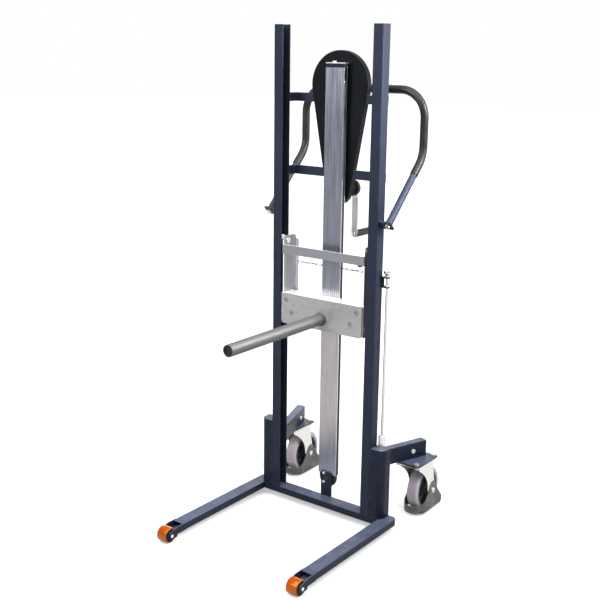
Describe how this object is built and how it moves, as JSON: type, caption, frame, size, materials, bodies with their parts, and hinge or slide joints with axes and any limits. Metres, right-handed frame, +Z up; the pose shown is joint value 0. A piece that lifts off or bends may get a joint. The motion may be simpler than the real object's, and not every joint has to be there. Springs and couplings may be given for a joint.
{
  "type": "material lift",
  "caption": "Hand-cranked material lift with a ram on a belt-driven carriage, two mast channels, splayed legs on front rollers, and swivel casters behind.",
  "frame": {"origin": "on the floor, under the middle of the lift's outer box", "axes": "+X to the operator's left as seen from behind, the lift's right in the front view; +Y to the rear, towards the handlebar; +Z up"},
  "size_m": [0.722, 0.964, 1.88],
  "materials": {
    "frame_paint": "satin powder coat",
    "handle_paint": "satin powder coat",
    "black_paint": "semi-gloss paint",
    "dark_steel": "blackened",
    "column_aluminium": "satin anodised",
    "carriage_aluminium": "brushed",
    "plate_steel": "blasted satin",
    "machined_steel": "turned",
    "zinc": "bright zinc plate",
    "black_plastic": "moulded",
    "black_rubber": "matt",
    "belt": "matt",
    "roller_plastic": "moulded",
    "orange_polyurethane": "cast polyurethane",
    "grey_rubber": "smooth",
    "hub_plastic": "moulded",
    "guard_grey": "hammered paint"
  },
  "bodies": {
    "chassis": {"mast_left": "frame_paint", "mast_right": "frame_paint", "cross_member": "frame_paint", "leg_left": "frame_paint", "leg_right": "frame_paint", "posts": "frame_paint", "caster_arm_left": "frame_paint", "caster_arm_right": "frame_paint", "arm_end_caps": "black_plastic", "crossbars": "frame_paint", "column": "column_aluminium", "column_cap": "frame_paint", "cap_strap": "machined_steel", "foot_bracket": "frame_paint", "pulley_pin": "dark_steel", "cover_front": "black_paint", "cover_rear": "black_paint", "shaft_bearings": "dark_steel", "drive_chain": "dark_steel", "lifting_belt": "belt", "handlebar": "handle_paint", "handle_grip": "black_rubber", "rod_keeper": "black_paint", "frame_bolts": "zinc", "roller_axles": "zinc", "swivel_plates": "zinc"},
    "carriage": {"load_plate": "plate_steel", "plate_screws": "zinc", "ram_tube": "plate_steel", "ram_plug": "black_plastic", "side_plate_left": "carriage_aluminium", "side_plate_right": "carriage_aluminium", "top_bar": "carriage_aluminium", "stop_buffer": "black_rubber", "catch_wire": "dark_steel", "belt_clamp": "machined_steel", "roller_pins": "zinc"},
    "upper_rollers": {"upper_guide_rollers": "roller_plastic"},
    "lower_rollers": {"lower_guide_rollers": "roller_plastic"},
    "top_drive": {"top_pulley": "machined_steel", "drive_wheel": "machined_steel"},
    "tail_pulley": {"bottom_pulley": "dark_steel"},
    "crank": {"crank_shaft": "machined_steel", "brake_disc": "dark_steel", "crank_arm": "zinc", "crank_fasteners": "zinc"},
    "hand_grip": {"crank_grip": "black_rubber"},
    "pull_rod_body": {"pull_rod": "zinc"},
    "front_wheel_left": {"front_roller_left": "orange_polyurethane", "roller_core_left": "black_plastic"},
    "front_wheel_right": {"front_roller_right": "orange_polyurethane", "roller_core_right": "black_plastic"},
    "swivel_left": {"caster_fork_left": "zinc", "caster_axle_left": "zinc", "caster_guard_left": "guard_grey"},
    "swivel_right": {"caster_fork_right": "zinc", "caster_axle_right": "zinc", "caster_guard_right": "guard_grey"},
    "rear_wheel_left": {"wheel_tread_left": "grey_rubber", "wheel_hub_left": "hub_plastic"},
    "rear_wheel_right": {"wheel_tread_right": "grey_rubber", "wheel_hub_right": "hub_plastic"}
  },
  "joints": [
    {"name": "lift", "type": "slide", "parent": "chassis", "child": "carriage", "axis": [0, 0, 1], "range_m": [-0.69, 0.64]},
    {"name": "upper_roller_spin", "type": "hinge", "parent": "carriage", "child": "upper_rollers", "pos_m": [0, 0.1195, 1.078], "axis": [1, 0, 0], "range_deg": [-2100, 1950]},
    {"name": "lower_roller_spin", "type": "hinge", "parent": "carriage", "child": "lower_rollers", "pos_m": [0, 0.1195, 0.78], "axis": [1, 0, 0], "range_deg": [-1950, 2100]},
    {"name": "drive_turn", "type": "hinge", "parent": "chassis", "child": "top_drive", "pos_m": [0, 0.166, 1.667], "axis": [0, 1, 0], "range_deg": [-1020, 1100]},
    {"name": "tail_turn", "type": "hinge", "parent": "chassis", "child": "tail_pulley", "pos_m": [0, 0.162, 0.13], "axis": [0, 1, 0], "range_deg": [-1020, 1100]},
    {"name": "crank_turn", "type": "hinge", "parent": "chassis", "child": "crank", "pos_m": [0, 0.206, 1.28], "axis": [0, 1, 0], "range_deg": [-3300, 3560]},
    {"name": "grip_spin", "type": "hinge", "parent": "crank", "child": "hand_grip", "pos_m": [0, 0.3083, 1.098], "axis": [0, 1, 0], "continuous": true},
    {"name": "rod_pull", "type": "slide", "parent": "chassis", "child": "pull_rod_body", "axis": [0, 0, 1], "range_m": [0, 0.025]},
    {"name": "front_roll_left", "type": "hinge", "parent": "chassis", "child": "front_wheel_left", "pos_m": [-0.303, -0.452, 0.03], "axis": [1, 0, 0], "continuous": true},
    {"name": "swivel_left", "type": "hinge", "parent": "chassis", "child": "swivel_left", "pos_m": [-0.303, 0.328, 0.21], "axis": [0, 0, 1], "continuous": true},
    {"name": "rear_roll_left", "type": "hinge", "parent": "swivel_left", "child": "rear_wheel_left", "pos_m": [-0.303, 0.392, 0.09], "axis": [1, 0, 0], "continuous": true},
    {"name": "front_roll_right", "type": "hinge", "parent": "chassis", "child": "front_wheel_right", "pos_m": [0.303, -0.452, 0.03], "axis": [1, 0, 0], "continuous": true},
    {"name": "swivel_right", "type": "hinge", "parent": "chassis", "child": "swivel_right", "pos_m": [0.303, 0.328, 0.21], "axis": [0, 0, 1], "continuous": true},
    {"name": "rear_roll_right", "type": "hinge", "parent": "swivel_right", "child": "rear_wheel_right", "pos_m": [0.303, 0.392, 0.09], "axis": [1, 0, 0], "continuous": true}
  ],
  "couplings": [
    {"joint": "upper_roller_spin", "follows": "lift", "rad_per_m": 52.083},
    {"joint": "lower_roller_spin", "follows": "lift", "rad_per_m": -52.083},
    {"joint": "drive_turn", "follows": "lift", "rad_per_m": -26.667},
    {"joint": "tail_turn", "follows": "lift", "rad_per_m": -26.667},
    {"joint": "crank_turn", "follows": "lift", "rad_per_m": -88.889}
  ]
}
